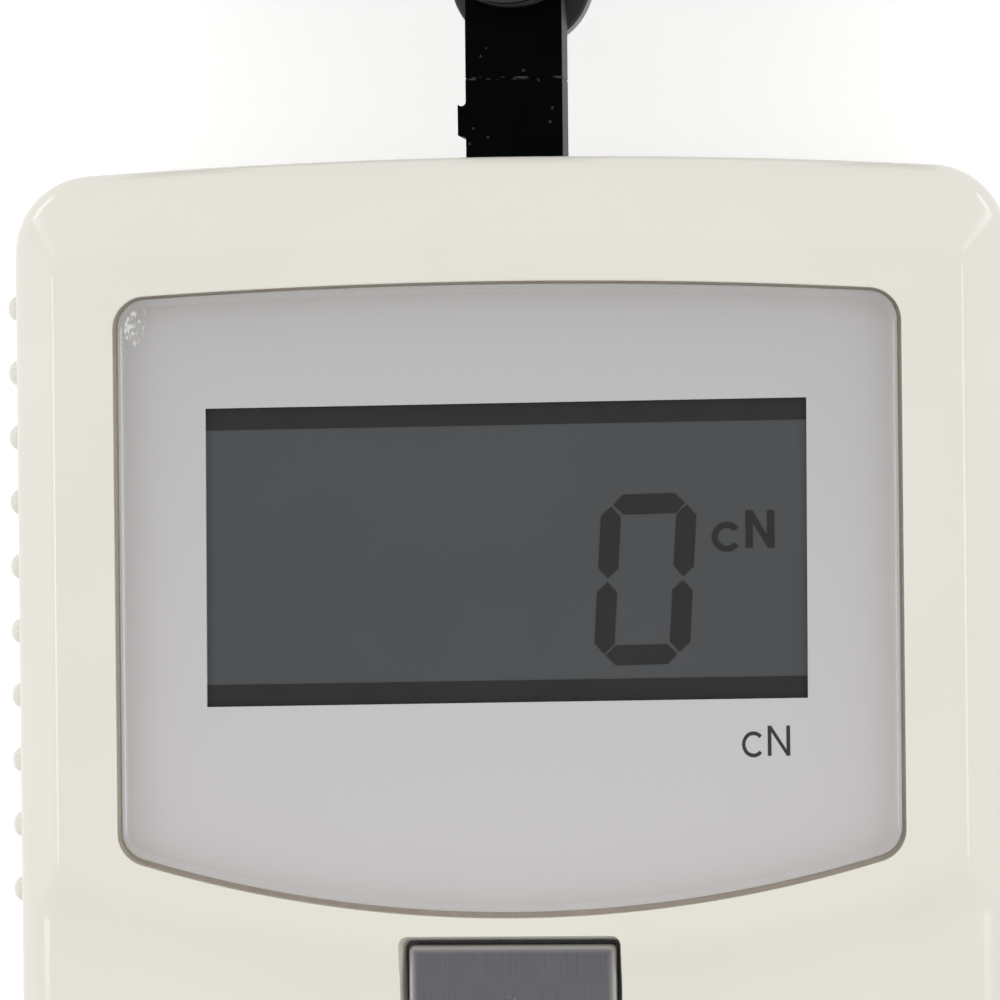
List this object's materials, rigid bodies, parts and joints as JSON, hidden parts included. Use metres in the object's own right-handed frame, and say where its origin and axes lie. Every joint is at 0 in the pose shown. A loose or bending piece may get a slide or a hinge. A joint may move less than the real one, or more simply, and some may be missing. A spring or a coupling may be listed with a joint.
{
  "type": "cable tension meter",
  "caption": "Handheld digital tension meter with a display and keys on a waisted housing and a head of grooved rollers on a sliding carriage.",
  "frame": {"origin": "middle of the back rest face, halfway along the housing and across its width", "axes": "+Z out of the display face, +Y towards the roller head, +X to the right of the display"},
  "size_m": [0.0889, 0.2141, 0.039],
  "materials": {
    "housing_plastic": "fine moulded texture",
    "key_plastic": "satin, lightly brushed",
    "clear_acrylic": "polished, clear",
    "printed_panel": "silver-grey satin print",
    "lcd_glass": "dark liquid crystal glass",
    "backlight_plastic": "milky diffuser",
    "black_plastic": "satin",
    "circuit_board": "solder mask",
    "silicone": "soft matt",
    "cell_jacket": "printed sleeve, no words",
    "spring_steel": "bright",
    "screw_steel": "bright zinc",
    "black_anodised": "black anodised, glossy",
    "grey_anodised": "dark grey anodised",
    "bare_aluminium": "milled",
    "bearing_steel": "ground",
    "roller_black": "hard anodised, turned",
    "acetal": "natural white",
    "gauge_film": "polyimide film"
  },
  "bodies": {
    "housing": {"front_cover": "housing_plastic", "rear_cover": "housing_plastic", "batteries": "cell_jacket", "battery_contacts": "spring_steel", "display_lens": "clear_acrylic", "display_panel": "printed_panel", "lcd_glass": "lcd_glass", "backlight": "backlight_plastic", "lcd_holder": "black_plastic", "main_board": "circuit_board", "board_components": "black_plastic", "key_mat": "silicone", "housing_screws": "screw_steel", "board_screws": "screw_steel", "chassis_plate": "bare_aluminium", "chassis_screws": "screw_steel", "block_screws": "screw_steel", "mounting_block": "bare_aluminium", "load_cell": "bare_aluminium", "strain_gauges": "gauge_film", "load_cell_screws": "screw_steel", "guide_block": "bare_aluminium", "guide_liner": "acetal", "return_springs": "spring_steel"},
    "battery_door": {"battery_cover": "housing_plastic"},
    "power_button": {"power_key": "key_plastic"},
    "zero_button": {"zero_key": "key_plastic"},
    "hold_button": {"hold_key": "key_plastic"},
    "unit_button": {"unit_key": "key_plastic"},
    "peak_button": {"peak_key": "key_plastic"},
    "carriage": {"carriage_plate": "grey_anodised", "spring_rods": "bearing_steel", "slide_link": "screw_steel", "link_screws": "screw_steel", "thumb_slider": "black_plastic", "left_post": "grey_anodised", "right_post": "grey_anodised", "left_inner_ring": "bearing_steel", "right_inner_ring": "bearing_steel", "left_axle_screw": "screw_steel", "right_axle_screw": "screw_steel"},
    "measuring_arm": {"arm_base": "black_anodised", "roller_arm": "black_anodised", "arm_dowels": "bearing_steel", "arm_screw": "screw_steel", "centre_spacer": "bearing_steel", "centre_inner_ring": "bearing_steel", "centre_axle_screw": "screw_steel"},
    "left_wheel": {"left_roller": "roller_black", "left_outer_ring": "bearing_steel"},
    "centre_wheel": {"centre_roller": "roller_black", "centre_outer_ring": "bearing_steel"},
    "right_wheel": {"right_roller": "roller_black", "right_outer_ring": "bearing_steel"}
  },
  "joints": [
    {"name": "battery_cover_slide", "type": "slide", "parent": "housing", "child": "battery_door", "axis": [0, -1, 0], "range_m": [0, 0.03]},
    {"name": "power_key_press", "type": "slide", "parent": "housing", "child": "power_button", "axis": [0, 0, -1], "range_m": [0, 0.0008], "stiffness_N_per_m": 800, "springref_m": -0.0005},
    {"name": "zero_key_press", "type": "slide", "parent": "housing", "child": "zero_button", "axis": [0, 0, -1], "range_m": [0, 0.0008], "stiffness_N_per_m": 800, "springref_m": -0.0005},
    {"name": "hold_key_press", "type": "slide", "parent": "housing", "child": "hold_button", "axis": [0, 0, -1], "range_m": [0, 0.0008], "stiffness_N_per_m": 800, "springref_m": -0.0005},
    {"name": "unit_key_press", "type": "slide", "parent": "housing", "child": "unit_button", "axis": [0, 0, -1], "range_m": [0, 0.0008], "stiffness_N_per_m": 800, "springref_m": -0.0005},
    {"name": "peak_key_press", "type": "slide", "parent": "housing", "child": "peak_button", "axis": [0, 0, -1], "range_m": [0, 0.0008], "stiffness_N_per_m": 800, "springref_m": -0.0005},
    {"name": "carriage_slide", "type": "slide", "parent": "housing", "child": "carriage", "axis": [0, 1, 0], "range_m": [0, 0.0085], "stiffness_N_per_m": 600, "springref_m": -0.004, "deforming": ["return_springs"]},
    {"name": "arm_press", "type": "slide", "parent": "housing", "child": "measuring_arm", "axis": [0, -1, 0], "range_m": [0, 0.0005], "stiffness_N_per_m": 20000, "deforming": ["load_cell"]},
    {"name": "left_roller_spin", "type": "hinge", "parent": "carriage", "child": "left_wheel", "pos_m": [-0.033, 0.1163, 0.0312], "axis": [0, 0, 1], "continuous": true},
    {"name": "centre_roller_spin", "type": "hinge", "parent": "measuring_arm", "child": "centre_wheel", "pos_m": [0, 0.1108, 0.0312], "axis": [0, 0, 1], "continuous": true},
    {"name": "right_roller_spin", "type": "hinge", "parent": "carriage", "child": "right_wheel", "pos_m": [0.033, 0.1163, 0.0312], "axis": [0, 0, 1], "continuous": true}
  ]
}
